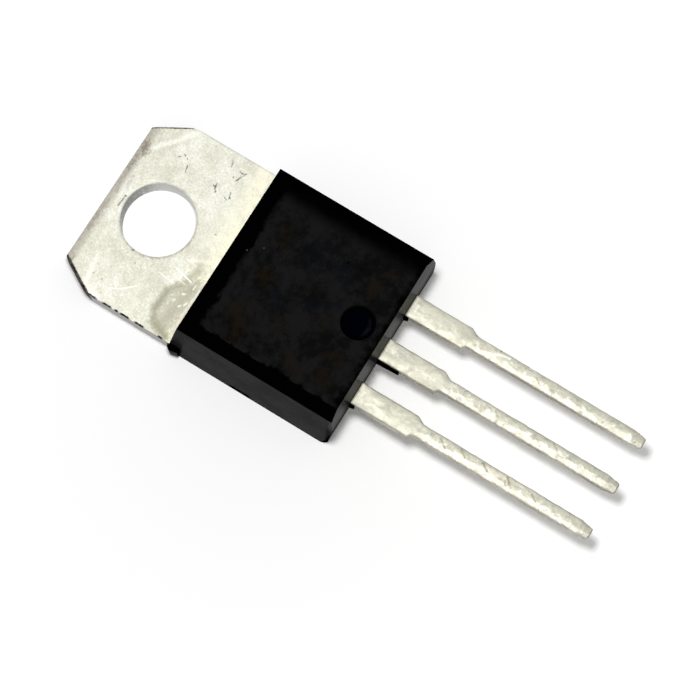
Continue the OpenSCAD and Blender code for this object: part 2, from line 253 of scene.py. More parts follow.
mouldingLook = {
    "dark": (0.0034, 0.0035, 0.0037, 1), "light": (0.0088, 0.0086, 0.0085, 1),
    "black": (0.0006, 0.0005, 0.0006, 1),
    "amber": (0.0098, 0.0064, 0.0026, 1), "blue": (0.004, 0.005, 0.0082, 1),
    "disc": (0.0003, 0.0005, 0.0019, 1), "litCrescent": (0.005, 0.0056, 0.0082, 1),
    # the sides' lighter grey is painted sheen
    "wallSheenDark": (0.011, 0.011, 0.0116, 1), "wallSheenLight": (0.019, 0.0188, 0.0195, 1),
    "speck": (0.22, 0.22, 0.21, 1),
    "roughTop": 0.75, "roughWall": 0.35, "coatIor": 1.08, "coatRough": 0.25, "grainDepth": 0.004,
    # the matte field: near side, far side, lead end, tab end
    "field": (-4.02, 3.95, -12.86, -5.1), "ragged": 0.55,
    "pinMark": (0.06, -11.557, 0.85),
    # along the foot of the near side: middle, half length, top
    "footStreak": (-7.9, 0.6, 0.42),
    "amberSpots": [(-0.37, -6.51, -0.5, -6.7, 1.5, 0.8, 1.0, 0.8),
                   (-2.3, -6.4, -3.4, -6.9, 1.5, 0.9, 1.0, 0.9),
                   (-1.6, -8.2, -2.1, -8.5, 1.0, 0.4, 1.0, 0.9), (0.58, -8.5, 0.6, -8.7, 0.9, 0.35, 1.0, 0.9),
                   (-2.1, -11.4, -3.1, -11.5, 1.5, 0.7, 1.0, 0.9),
                   (1.4, -11.2, 2.8, -11.5, 1.2, 0.6, 1.0, 0.9),
                   (2.2, -6.3, 1.5, -6.5, 0.9, 0.5, 1.0, 0.9), (-0.6, -9.9, -1.2, -10.4, 0.9, 0.4, 1.0, 0.9),
                   (-3.0, -9.4, -3.5, -10.2, 1.1, 0.4, 1.0, 0.9)],
    "blueSpots": [(-1.15, -7.5, -1.2, -7.7, 1.2, 0.7, 1.0, 0.8), (2.2, -8.1, 1.3, -8.3, 1.6, 0.5, 1.0, 0.8),
                  (1.0, -9.8, 1.8, -9.7, 1.6, 0.6, 1.0, 0.8), (0.4, -10.3, -0.6, -9.2, 1.3, 0.4, 1.0, 0.8),
                  (3.2, -8.0, 3.4, -7.0, 1.2, 0.4, 1.0, 0.8)],
    "specks": [(0.31, -5.17, 0.31, -5.17, 0.13, 0.25, 0.9, 0.3),
               (0.82, -5.81, 0.82, -5.81, 0.12, 0.2, 0.9, 0.3)],
    "pits": [(2.32, -9.61, 2.32, -9.61, 0.2, 1.0, 0.9, 0.8), (2.36, -10.35, 2.36, -10.35, 0.2, 1.0, 0.9, 0.8),
             (1.3, -6.4, 1.33, -6.4, 0.12, 0.6, 0.9, 0.8)],
}


def mouldingMaterial(look):
    material, tree, shader, position = newMaterial(
        "blackMoulding", Specular_IOR_Level=0.0, Coat_IOR=look["coatIor"], Coat_Roughness=look["coatRough"])
    split = newNode(tree, "ShaderNodeSeparateXYZ")
    feed(tree, split.inputs[0], position)
    across, along, height = split.outputs
    wall = faceValue(tree, "wall")
    soft = noiseValue(tree, position, 0.7, 2.0, 0.5)
    middling = noiseValue(tree, position, 2.6, 2.0, 0.55)
    grain = noiseValue(tree, position, 11.0, 2.0, 0.7)
    # a worn border: the matte field frays into the smooth frame round it
    fray = times(tree, minus(tree, addUp(tree, [(soft, 0.8), (middling, 1.1), (grain, 0.4)]), 0.5),
                look["ragged"])
    near, far, leadEnd, tabEnd = look["field"]
    frayedX = plus(tree, across, fray)
    frayedY = plus(tree, along, fray)
    field = ease(tree, frayedX, near - 0.05, near + 0.12)
    field = times(tree, field, ease(tree, frayedX, far - 0.75, far + 0.1, 1.0, 0.0))
    field = times(tree, field, ease(tree, frayedY, leadEnd - 0.1, leadEnd + 0.45))
    field = times(tree, field, ease(tree, frayedY, tabEnd - 0.22, tabEnd - 0.02, 1.0, 0.0))
    onTop = ease(tree, height, places["bodyTop"] - 0.03, places["bodyTop"] - 0.01)
    field = times(tree, field, onTop)
    x, y, radius = look["pinMark"]
    disc = useGroup(tree, effects["mark"], Position=position, Start=(x, y, 0), End=(x, y, 0),
                    Width=radius * 2.12, Softness=0.12, Raggedness=0.02)["Mask"]
    field = times(tree, field, minus(tree, 1.0, disc))
    tone = addUp(tree, [(soft, 1.3), (middling, 1.0), (grain, 0.8)])
    colour = mixColour(tree, ease(tree, tone, 0.2, 0.8), look["dark"], look["light"])
    amber = times(tree, markLayer(tree, position, look["amberSpots"]), ease(tree, middling, 0.3, 0.62))
    colour = mixColour(tree, amber, colour, look["amber"])
    blue = times(tree, markLayer(tree, position, look["blueSpots"]), ease(tree, middling, 0.7, 0.35))
    colour = mixColour(tree, blue, colour, look["blue"])
    colour = mixColour(tree, field, look["black"], colour)
    # painted sheen: the sides and underside get a lighter grey base colour than the black frame round the top
    wallSheenTone = addUp(tree, [(soft, 1.2), (middling, 0.8), (grain, 0.6)])
    wallColour = mixColour(tree, ease(tree, wallSheenTone, 0.2, 0.8), look["wallSheenDark"], look["wallSheenLight"])
    colour = mixColour(tree, wall, colour, wallColour)
    # black along a stretch of the foot of the near side
    middle, half, top = look["footStreak"]
    away = calc(tree, "ABSOLUTE", minus(tree, along, middle))
    streak = ease(tree, plus(tree, away, times(tree, grain, 0.3)), half, half + 0.3, 1.0, 0.0)
    footLine = plus(tree, height, times(tree, middling, 0.15))
    streak = times(tree, streak, ease(tree, footLine, top, top + 0.1, 1.0, 0.0))
    streak = times(tree, streak, ease(tree, across, -4.8, -4.7, 1.0, 0.0))
    colour = mixColour(tree, streak, colour, look["black"])
    inDisc = useGroup(tree, effects["mark"], Position=position, Start=(x, y, 0), End=(x, y, 0),
                      Width=radius * 1.75, Softness=0.3, Raggedness=0.1)["Mask"]
    inDisc = times(tree, inDisc, ease(tree, height, 4.2, 4.3))
    colour = mixColour(tree, inDisc, colour, look["disc"])
    # painted light: a lighter crescent on the pin mark's floor, on its side towards the lead end
    rim = markLayer(tree, position, [(x - 0.38, y - 0.52, x + 0.1, y - 0.6, 0.36, 1.0, 1.0, 0.4),
                                     (x + 0.1, y - 0.6, x + 0.42, y - 0.42, 0.3, 0.7, 1.0, 0.4)])
    colour = mixColour(tree, times(tree, rim, inDisc), colour, look["litCrescent"])
    pits = times(tree, markLayer(tree, position, look["pits"]), onTop)
    colour = mixColour(tree, pits, colour, (0.0002, 0.0002, 0.0002, 1))
    specks = times(tree, markLayer(tree, position, look["specks"]), onTop)
    colour = mixColour(tree, specks, colour, look["speck"])
    feed(tree, shader.inputs["Base Color"], colour)
    rough = ease(tree, field, 0.0, 1.0, look["roughWall"], look["roughTop"])
    feed(tree, shader.inputs["Roughness"], plus(tree, rough, ease(tree, middling, 0.2, 0.8, -0.05, 0.05)))
    # the long sides keep a low sheen, with painted shade where it fades in places along their foot
    footShade = ease(tree, plus(tree, height, times(tree, middling, 0.12)), 0.1, 0.18, 0.35, 1.0)
    sheen = times(tree, footShade, ease(tree, soft, 0.2, 0.8, 0.75, 0.95))
    sheen = times(tree, sheen, ease(tree, along, -12.95, -12.75, 1.0, 0.42))
    sheen = times(tree, times(tree, sheen, wall), minus(tree, 1.0, streak))
    # on the lead end the sheen fades below the leads' height: painted shade in its reflection
    endFootShade = calc(tree, "MAXIMUM", ease(tree, along, -12.9, -12.7), ease(tree, height, 2.2, 3.3, 0.12, 1.0))
    feed(tree, shader.inputs["Coat Weight"], times(tree, sheen, endFootShade))
    relief = times(tree, addUp(tree, [(grain, 1.0), (middling, 0.6)]), ease(tree, field, 0.0, 1.0, 0.15, 1.0))
    relief = minus(tree, relief, times(tree, pits, 3.0))
    addBump(tree, shader, relief, look["grainDepth"])
    return material


# plating on the tab

tabLook = {
    "tinDark": (0.65, 0.64, 0.545, 1), "tin": (0.78, 0.775, 0.68, 1), "tinPale": (0.9, 0.9, 0.84, 1),
    "yellowLitTin": (0.96, 0.93, 0.76, 1), "stain": (0.3, 0.26, 0.21, 1), "endGrey": (0.47, 0.42, 0.35, 1),
    "olive": (0.42, 0.41, 0.31, 1), "mark": (0.1, 0.095, 0.08, 1), "white": (0.98, 0.98, 0.93, 1),
    "wall": (0.4, 0.395, 0.39, 1), "bore": (0.62, 0.62, 0.6, 1), "boreShadeColour": (0.2, 0.2, 0.19, 1),
    "copper": (0.36, 0.17, 0.12, 1), "copperDark": (0.014, 0.005, 0.004, 1), "edgeDark": (0.008, 0.005, 0.004, 1),
    "roughness": 0.7, "roughSpread": 0.12, "bumpDepth": 0.014, "tabEnd": 2.9, "fadeLength": 0.75,
    "stains": [(3.0, 2.6, 2.55, 2.52, 0.75, 0.8, 1.0, 1.4), (2.5, 2.66, 1.5, 2.72, 0.42, 0.55, 1.0, 1.6),
               (1.5, 2.7, 0.2, 2.6, 0.36, 0.35, 1.0, 1.8), (-0.4, 2.7, -2.2, 2.75, 0.36, 0.35, 1.0, 1.8),
               (4.1, 2.5, 4.5, 2.0, 0.3, 0.3, 1.0, 1.8), (1.3, 2.3, 0.6, 2.2, 0.3, 0.3, 1.0, 1.8)],
    "darkMarks": [(3.32, 0.88, 3.36, 0.8, 0.1, 0.75, 0.9, 1.5), (3.57, 0.71, 3.52, 0.64, 0.09, 0.8, 0.9, 1.5),
                  (3.45, 0.5, 3.4, 0.44, 0.09, 0.65, 0.9, 1.5),
                  (3.17, 0.29, 2.81, 0.19, 0.09, 0.65, 0.9, 1.5),
                  (4.29, -2.45, 3.73, -2.21, 0.11, 0.8, 0.9, 2.0),
                  (4.25, -2.15, 4.2, -2.4, 0.1, 0.65, 0.9, 2.0),
                  (4.52, -1.53, 4.18, -1.65, 0.08, 0.6, 0.9, 2.0),
                  (4.0, -1.9, 3.8, -2.0, 0.09, 0.6, 0.9, 2.0),
                  (3.18, -1.48, 2.9, -1.5, 0.12, 0.8, 0.9, 2.0),
                  (2.95, -1.4, 2.72, -1.66, 0.1, 0.75, 0.9, 2.0),
                  (3.05, -2.32, 2.77, -2.41, 0.11, 0.8, 0.9, 2.0),
                  (2.7, -2.2, 2.65, -2.3, 0.1, 0.6, 0.9, 2.0),
                  (0.84, -2.82, 0.86, -2.86, 0.11, 0.5, 0.8, 1.2),
                  (-1.96, 0.24, -1.98, 0.2, 0.16, 0.55, 0.8, 1.2),
                  (-2.46, -0.22, -2.48, -0.24, 0.1, 0.55, 0.8, 1.0),
                  (-4.02, 0.75, -4.0, 0.7, 0.12, 0.4, 0.8, 1.5),
                  (-3.97, 1.28, -3.95, 1.25, 0.1, 0.4, 0.8, 1.5),
                  (0.2, 2.05, -0.4, 2.1, 0.12, 0.6, 0.9, 2.0)],
    "scratches": [(-1.62, -2.1, -1.84, -3.09, 0.12, 0.75, 0.9, 0.4),
                  (-2.24, -1.47, -2.35, -2.34, 0.1, 0.45, 0.9, 0.6),
                  (-4.26, 0.23, -3.91, -0.39, 0.11, 0.55, 0.9, 0.6),
                  (-3.91, -0.39, -3.41, -0.92, 0.12, 0.55, 0.9, 0.6),
                  (1.33, 1.68, 1.64, 1.25, 0.1, 0.5, 0.9, 0.8),
                  (-0.95, -2.3, -1.04, -2.9, 0.13, 0.4, 0.9, 0.8),
                  (3.41, -1.41, 3.64, -1.79, 0.07, 0.3, 0.9, 0.6),
                  (3.02, 2.19, 4.94, 0.69, 0.45, 0.45, 1.0, 0.5),
                  (-3.0, 1.6, -4.6, 1.3, 0.5, 0.35, 1.0, 0.6), (-4.6, 1.3, -4.9, 0.4, 0.5, 0.4, 1.0, 0.6)],
    # the dent's shaded rim, the dull floor inside it, and bright burrs on its far side
    "dentRim": [(-2.3, -2.7, -2.8, -2.35, 0.75, 0.8, 1.0, 0.4),
                (-2.8, -2.35, -3.9, -2.3, 0.8, 0.95, 1.0, 0.4),
                (-3.9, -2.3, -4.5, -2.6, 0.7, 0.8, 1.0, 0.4), (-4.5, -2.6, -4.85, -3.5, 0.75, 0.95, 1.0, 0.4),
                (-2.3, -2.75, -1.2, -3.1, 0.7, 0.6, 1.0, 0.5), (-1.6, -3.4, -2.1, -3.35, 0.5, 0.4, 1.0, 0.8)],
    "dentFloor": [(-2.2, -3.3, -4.3, -3.0, 2.0, 0.75, 1.0, 0.5),
                  (-1.2, -3.4, -0.9, -3.0, 0.8, 0.3, 1.0, 0.6)],
    "flecks": [(-3.22, -3.22, -3.1, -3.3, 0.12, 0.6, 0.9, 1.5),
               (-2.58, -3.07, -2.5, -3.2, 0.16, 0.6, 0.9, 1.5),
               (-3.0, -3.43, -2.85, -3.5, 0.14, 0.6, 0.9, 1.5),
               (-2.11, -3.39, -1.9, -3.4, 0.14, 0.5, 0.9, 1.5),
               (-3.08, -2.84, -3.0, -2.9, 0.14, 0.5, 0.9, 1.5),
               (-3.6, -3.62, -2.0, -3.7, 0.16, 0.5, 0.9, 2.0),
               (-2.0, -2.3, -2.1, -2.9, 0.1, 0.4, 0.9, 1.5), (-0.9, -2.5, -0.6, -3.2, 0.3, 0.3, 1.0, 1.5)],
    # painted shadow under the burred near top edge, as (middle y, half length), and dark lines along the cut
    # corners' top edges
    "burrShadows": [(-0.2, 0.26), (-0.76, 0.13), (-1.22, 0.27), (-2.1, 0.26), (0.7, 0.28), (-3.3, 0.15)],
    "cutSlope": (0.8658, 0.5002), "cutEdge": 4.841,
}


def tabMaterial(look):
    material, tree, shader, position = newMaterial("tabPlating", Metallic=1.0)
    split = newNode(tree, "ShaderNodeSeparateXYZ")
    feed(tree, split.inputs[0], position)
    across, along, height = split.outputs
    wall, cut, bore = (faceValue(tree, name) for name in ("wall", "cut", "bore"))
    broad = noiseValue(tree, position, 0.45, 3.0, 0.55, 0.3)
    middling = noiseValue(tree, position, 1.9, 3.0, 0.6, 0.3)
    fine = noiseValue(tree, position, 8.5, 4.0, 0.7)
    moved = vectorCalc(tree, "ADD", position, (31.7, 12.3, 4.1))
    otherFine = noiseValue(tree, moved, 5.5, 4.0, 0.7)
    # the marks belong to the front: further back their places are moved away
    behind = newNode(tree, "ShaderNodeCombineXYZ")
    feed(tree, behind.inputs[1], ease(tree, height, 0.5, 1.0, 60.0, 0.0))
    onFront = vectorCalc(tree, "ADD", position, behind.outputs[0])
    lines = useGroup(tree, effects["hairlines"], Position=position, Angle=0.5, Amount=0.5)["Lines"]
    crossLines = useGroup(tree, effects["hairlines"], Position=position, Angle=2.2, Amount=0.5)["Lines"]
    tone = addUp(tree, [(broad, 0.9), (middling, 1.0), (fine, 1.3)])
    colour = mixColour(tree, ease(tree, tone, 0.15, 0.6), look["tinDark"], look["tin"])
    colour = mixColour(tree, ease(tree, tone, 0.5, 0.9), colour, look["tinPale"])
    # the plating yellows towards the moulding, and is painted brighter there as painted light
    nearBody = ease(tree, along, places["wallAtTab"], places["wallAtTab"] + 1.7, 1.0, 0.0)
    colour = mixColour(tree, times(tree, nearBody, ease(tree, middling, 0.3, 0.62, 0.3, 0.95)),
                       colour, look["yellowLitTin"])
    # small flakes, bright and dull
    colour = mixColour(tree, ease(tree, fine, 0.58, 0.72, 0.0, 0.7), colour, look["white"])
    colour = mixColour(tree, ease(tree, otherFine, 0.62, 0.72, 0.0, 0.45), colour, look["olive"])
    # a brownish seam along the far edge
    farSeam = times(tree, ease(tree, across, 4.92, 5.16), ease(tree, otherFine, 0.38, 0.58, 0.2, 0.8))
    colour = mixColour(tree, farSeam, colour, look["stain"])
    # tarnish over the rolled end, with painted shade of the roll darkening towards the end
    toEnd = plus(tree, along, times(tree, minus(tree, middling, 0.5), 0.5))
    endShade = ease(tree, toEnd, look["tabEnd"] - look["fadeLength"], look["tabEnd"] + 0.05, 0.0, 0.6)
    colour = mixColour(tree, times(tree, endShade, ease(tree, otherFine, 0.35, 0.6, 0.6, 1.0)),
                       colour, look["endGrey"])
    colour = mixColour(tree, markLayer(tree, onFront, look["dentFloor"]), colour, look["olive"])
    colour = mixColour(tree, markLayer(tree, onFront, look["dentRim"]), colour, look["olive"])
    stains = times(tree, markLayer(tree, onFront, look["stains"]), ease(tree, otherFine, 0.3, 0.6, 0.5, 1.0))
    colour = mixColour(tree, stains, colour, look["stain"])
    dark = markLayer(tree, onFront, look["darkMarks"])
    colour = mixColour(tree, dark, colour, look["mark"])
    colour = mixColour(tree, times(tree, crossLines, 0.5), colour, look["olive"])
    bright = markLayer(tree, onFront, look["scratches"] + look["flecks"])
    bright = calc(tree, "MAXIMUM", bright, times(tree, lines, 0.6))
    colour = mixColour(tree, bright, colour, look["white"])
    # punched sides: grey, with broken painted shadow under the burred top edge
    burrShadow = None
    for middle, half in look["burrShadows"]:
        away = calc(tree, "ABSOLUTE", minus(tree, along, middle))
        away = plus(tree, away, times(tree, otherFine, 0.3))
        one = ease(tree, away, half + 0.05, half + 0.22, 1.0, 0.0)
        burrShadow = one if burrShadow is None else calc(tree, "MAXIMUM", burrShadow, one)
    edgeWobble = times(tree, minus(tree, fine, 0.5), 0.12)
    edgeDark = times(tree, burrShadow, ease(tree, plus(tree, across, edgeWobble), -4.98, -4.92, 1.0, 0.0))
    burrShadowFoot = calc(tree, "MULTIPLY_ADD", otherFine, -0.7, height)
    edgeDark = times(tree, edgeDark, ease(tree, burrShadowFoot, 0.72, 0.9))
    # dark lines along the top edges of the cut corners
    slopeX, slopeY = look["cutSlope"]
    rise = times(tree, along, slopeY)
    nearGap = minus(tree, look["cutEdge"], calc(tree, "MULTIPLY_ADD", across, -slopeX, rise))
    farGap = minus(tree, look["cutEdge"], calc(tree, "MULTIPLY_ADD", across, slopeX, rise))
    nearEdgeDark = ease(tree, plus(tree, nearGap, edgeWobble), 0.07, 0.15, 1.0, 0.0)
    nearEdgeDark = times(tree, nearEdgeDark, ease(tree, middling, 0.42, 0.58, 1.0, 0.85))
    farEdgeDark = ease(tree, plus(tree, farGap, edgeWobble), 0.05, 0.1, 1.0, 0.0)
    farEdgeDark = times(tree, farEdgeDark, ease(tree, middling, 0.42, 0.58, 1.0, 0.5))
    edgeDark = calc(tree, "MAXIMUM", edgeDark, calc(tree, "MAXIMUM", nearEdgeDark, farEdgeDark))
    wallColour = mixColour(tree, ease(tree, middling, 0.35, 0.65, 0.0, 0.5), look["wall"], (0.5, 0.5, 0.5, 1))
    colour = mixColour(tree, wall, colour, wallColour)
    # the bore is greyer, with painted shade darkest on the side towards the tab's end
    boreShade = addUp(tree, [(calc(tree, "MULTIPLY_ADD", along, 0.26, 0.5), 1.0), (fine, 0.8)])
    boreColour = mixColour(tree, ease(tree, boreShade, 0.75, 1.05, 0.0, 0.8), look["bore"], look["boreShadeColour"])
    colour = mixColour(tree, bore, colour, boreColour)
    copperTone = addUp(tree, [(middling, 0.7), (otherFine, 0.9), (fine, 0.6)])
    copperMix = mixColour(tree, ease(tree, copperTone, 0.52, 0.9, 0.0, 0.55), look["copperDark"],
                          look["copper"])
    edgeDarkColour = mixColour(tree, ease(tree, otherFine, 0.54, 0.66, 0.0, 0.4), look["edgeDark"], look["copper"])
    colour = mixColour(tree, times(tree, edgeDark, minus(tree, 1.0, bore)), colour, edgeDarkColour)
    colour = mixColour(tree, cut, colour, copperMix)
    feed(tree, shader.inputs["Base Color"], colour)
    rough = plus(tree, look["roughness"],
                 times(tree, minus(tree, middling, 0.5), look["roughSpread"]))
    feed(tree, shader.inputs["Roughness"], minus(tree, rough, times(tree, bright, 0.1)))
    bump = addUp(tree, [(fine, 1.0), (otherFine, 0.8), (middling, 0.8)])
    bump = minus(tree, bump, times(tree, lines, 0.5))
    bump = minus(tree, bump, times(tree, dark, 0.6))
    addBump(tree, shader, bump, look["bumpDepth"])
    return material


# plating on the leads

leadLook = {
    "tin": (0.69, 0.68, 0.57, 1), "dull": (0.55, 0.545, 0.46, 1), "bright": (0.83, 0.81, 0.7, 1),
    "pink": (0.69, 0.62, 0.54, 1), "grey": (0.38, 0.37, 0.31, 1), "side": (0.6, 0.57, 0.5, 1),
    "sideDark": (0.3, 0.265, 0.22, 1), "dark": (0.06, 0.055, 0.045, 1), "oliveBrown": (0.33, 0.3, 0.2, 1),
    "white": (0.99, 0.99, 0.94, 1), "roughness": 0.66, "bumpDepth": 0.02, "tipEnd": -26.1,
    "strokes": [(-2.35, -17.7, -2.66, -18.1, 0.17, 0.85, 0.85, 0.9),
                (-2.3, -18.8, -2.55, -19.12, 0.17, 0.8, 0.85, 0.9),
                (-2.28, -20.0, -2.54, -20.36, 0.18, 0.85, 0.85, 0.9),
                (-2.28, -21.35, -2.64, -21.72, 0.18, 0.85, 0.85, 0.9),
                (-2.4, -22.76, -2.6, -23.08, 0.16, 0.7, 0.85, 0.9),
                (0.18, -19.24, -0.02, -19.48, 0.15, 0.6, 1.0, 0.9),
                (0.27, -22.4, 0.08, -22.72, 0.16, 0.6, 1.0, 0.9),
                (2.62, -20.1, 2.43, -20.32, 0.15, 0.6, 1.0, 1.0)],
    "pits": [(2.93, -16.6, 2.93, -16.62, 0.18, 1.0, 0.7, 0.6),
             (2.88, -17.96, 2.86, -17.98, 0.12, 0.7, 0.8, 0.6),
             (1.96, -14.37, 1.98, -14.38, 0.1, 0.7, 0.8, 0.6),
             (-2.1, -16.6, -2.12, -16.62, 0.16, 0.8, 0.7, 0.6),
             (0.4, -16.62, 0.38, -16.64, 0.14, 0.7, 0.7, 0.6)],
    "flakes": [(2.68, -13.41, 2.39, -13.41, 0.27, 0.32, 1.0, 1.3),
               (2.65, -17.91, 2.77, -18.57, 0.18, 0.6, 0.9, 1.0),
               (2.86, -19.57, 2.86, -19.85, 0.14, 0.6, 0.9, 1.0),
               (0.19, -13.11, -0.02, -13.26, 0.28, 0.32, 1.0, 1.3),
               (-2.49, -13.36, -2.42, -13.4, 0.29, 0.32, 1.0, 1.3),
               (-2.55, -15.88, -2.5, -15.95, 0.28, 0.32, 1.0, 1.3)],
}


def leadMaterial(look):
    material, tree, shader, position = newMaterial("leadPlating", Metallic=1.0)
    split = newNode(tree, "ShaderNodeSeparateXYZ")
    feed(tree, split.inputs[0], position)
    along = split.outputs["Y"]
    wall, across = (faceValue(tree, name) for name in ("wall", "across"))
    stretched = vectorCalc(tree, "MULTIPLY", position, (1.0, 0.55, 1.0))
    broad = noiseValue(tree, stretched, 0.9, 2.0, 0.5, 0.3)
    middling = noiseValue(tree, stretched, 3.0, 3.0, 0.6, 0.5)
    fine = noiseValue(tree, position, 5.2, 3.0, 0.65, 0.5)
    moved = vectorCalc(tree, "ADD", position, (13.9, 41.3, 7.7))
    otherFine = noiseValue(tree, moved, 3.4, 3.0, 0.7, 0.8)
    behind = newNode(tree, "ShaderNodeCombineXYZ")
    feed(tree, behind.inputs[1], ease(tree, split.outputs["Z"], 2.2, 2.4, 60.0, 0.0))
    onFront = vectorCalc(tree, "ADD", position, behind.outputs[0])
    lines = useGroup(tree, effects["hairlines"], Position=position, Angle=1.4, Amount=0.6)["Lines"]
    thin = ease(tree, along, -17.0, -16.3, 1.0, 0.0)
    # along the thin parts the side nearer the first anode is painted lit and the other side painted in shade,
    # with an uneven border
    border = plus(tree, across, times(tree, minus(tree, middling, 0.5), 2.2))
    paintedLitSide = times(tree, ease(tree, border, -0.25, 0.15, 1.0, 0.0), thin)
    paintedShadedSide = times(tree, ease(tree, border, 0.1, 0.6), thin)
    tone = addUp(tree, [(broad, 1.0), (middling, ease(tree, thin, 0.0, 1.0, 0.5, 1.5)),
                        (fine, ease(tree, thin, 0.0, 1.0, 0.15, 0.7))])
    colour = mixColour(tree, ease(tree, tone, 0.3, 0.7), look["dull"], look["tin"])
    colour = mixColour(tree, ease(tree, broad, 0.55, 0.75, 0.0, 0.4), colour, look["pink"])
    colour = mixColour(tree, times(tree, paintedShadedSide, 0.5), colour, look["dull"])
    colour = mixColour(tree, times(tree, paintedLitSide, 0.85), colour, look["bright"])
    # white flecks, with painted glints gathered on the lit side
    crisp = times(tree, ease(tree, fine, 0.55, 0.62), ease(tree, paintedLitSide, 0.0, 1.0, 0.12, 0.95))
    colour = mixColour(tree, crisp, colour, look["white"])
    dusty = times(tree, ease(tree, otherFine, 0.53, 0.68), ease(tree, thin, 0.0, 1.0, 0.25, 0.6))
    colour = mixColour(tree, dusty, colour, look["grey"])
    colour = mixColour(tree, markLayer(tree, onFront, look["flakes"]), colour, look["white"])
    strokes = times(tree, markLayer(tree, onFront, look["strokes"]), ease(tree, fine, 0.3, 0.55, 0.5, 1.0))
    colour = mixColour(tree, strokes, colour, look["oliveBrown"])
    # painted shade greys the rounded edges; the cropped tip shows greyer, the very foot of the sides darker
    edgeShade = ease(tree, calc(tree, "ABSOLUTE", across), 0.78, 0.98, 0.0, 0.55)
    colour = mixColour(tree, times(tree, edgeShade, ease(tree, middling, 0.3, 0.6, 0.5, 1.0)), colour,
                       look["grey"])
    colour = mixColour(tree, ease(tree, along, look["tipEnd"] + 0.03, look["tipEnd"] + 0.12, 0.85, 0.0),
                       colour, look["sideDark"])
    colour = mixColour(tree, markLayer(tree, onFront, look["pits"]), colour, look["dark"])
    sideColour = mixColour(tree, ease(tree, addUp(tree, [(broad, 0.7), (middling, 0.5), (otherFine, 0.7)]),
                                      0.25, 0.75),
                            look["sideDark"], look["side"])
    colour = mixColour(tree, wall, colour, sideColour)
    exitEdge = places["wallAtLeads"]
    colour = mixColour(tree, ease(tree, along, exitEdge - 0.1, exitEdge - 0.02, 0.0, 0.75), colour,
                       look["sideDark"])
    feed(tree, shader.inputs["Base Color"], colour)
    feed(tree, shader.inputs["Roughness"], ease(tree, middling, 0.25, 0.75, look["roughness"] - 0.08,
                                                look["roughness"] + 0.1))
    bump = addUp(tree, [(fine, ease(tree, thin, 0.0, 1.0, 0.3, 0.9)), (middling, 1.2), (otherFine, 0.6)])
    bump = minus(tree, bump, times(tree, lines, 0.4))
    addBump(tree, shader, bump, look["bumpDepth"])
    return material


# finishes of the parts inside

innerLook = {
    "solder": {"a": (0.5, 0.5, 0.47, 1), "b": (0.36, 0.36, 0.34, 1), "metal": 1.0, "rough": 0.42,
               "scale": 1.6},
    "alumina": {"a": (0.86, 0.85, 0.8, 1), "b": (0.78, 0.76, 0.7, 1), "metal": 0.0, "rough": 0.7,
                "scale": 2.2},
    "silicon": {"a": (0.09, 0.095, 0.11, 1), "b": (0.05, 0.055, 0.07, 1), "metal": 0.6, "rough": 0.22,
                "scale": 0.9},
    "bare_copper": {"a": (0.72, 0.36, 0.22, 1), "b": (0.5, 0.22, 0.13, 1), "metal": 1.0, "rough": 0.38,
                    "scale": 1.2},
}


def innerMaterial(name, look):
    material, tree, shader, position = newMaterial(name, Metallic=look["metal"])
    mottle = useGroup(tree, effects["mottle"], Position=position, Scale=look["scale"], Contrast=1.5)
    lines = useGroup(tree, effects["hairlines"], Position=position, Angle=0.8, Amount=0.6)["Lines"]
    colour = mixColour(tree, mottle["Patches"], look["a"], look["b"])
    colour = mixColour(tree, times(tree, mottle["Blotches"], 0.3), colour, look["b"])
    feed(tree, shader.inputs["Base Color"], colour)
    feed(tree, shader.inputs["Roughness"], ease(tree, mottle["Grain"], 0.3, 0.7, look["rough"] - 0.06,
                                                look["rough"] + 0.08))
    addBump(tree, shader, minus(tree, mottle["Grain"], lines), 0.006)
    return material


materials = {
    "moulding": mouldingMaterial(mouldingLook),
    "tab_plating": tabMaterial(tabLook),
    "lead_plating": leadMaterial(leadLook),
}
for name, look in innerLook.items():
    materials[name] = innerMaterial(name, look)
print("materials:", ", ".join(materials))


# mesh helpers

def meshOfNode(name):
    bm = bmesh.new()
    bm.from_mesh(nodes[name].data)
    bmesh.ops.remove_doubles(bm, verts=bm.verts, dist=0.001 * mm)
    return bm


def cutAt(bm, faces, point, normal):
    faces = list(faces)
    edges = {e for f in faces for e in f.edges}
    verts = {v for f in faces for v in f.verts}
    bmesh.ops.bisect_plane(bm, geom=faces + list(edges) + list(verts), dist=0.0005 * mm,
                           plane_co=Vector(point) * mm, plane_no=normal)


def joinFlatFaces(bm):
    bmesh.ops.dissolve_limit(bm, angle_limit=math.radians(0.4), use_dissolve_boundaries=False,
                             verts=bm.verts, edges=bm.edges, delimit={"MATERIAL"})


def edgeAngle(edge):
    return edge.calc_face_angle(0.0) if len(edge.link_faces) == 2 else 0.0


def orderFaces(bm):
    # rounding and triangulating leave the faces in an order that changes from run to run
    bm.verts.index_update()
    order = sorted(bm.faces, key=lambda face: sorted(v.index for v in face.verts))
    rank = {face: i for i, face in enumerate(order)}
    bm.faces.sort(key=rank.get)


def roundEdges(bm, edges, radius, segments=2):
    bmesh.ops.bevel(bm, geom=list(edges), offset=radius * mm, offset_type="OFFSET", segments=segments,
                    profile=0.5, affect="EDGES", clamp_overlap=True, material=-1)
    orderFaces(bm)


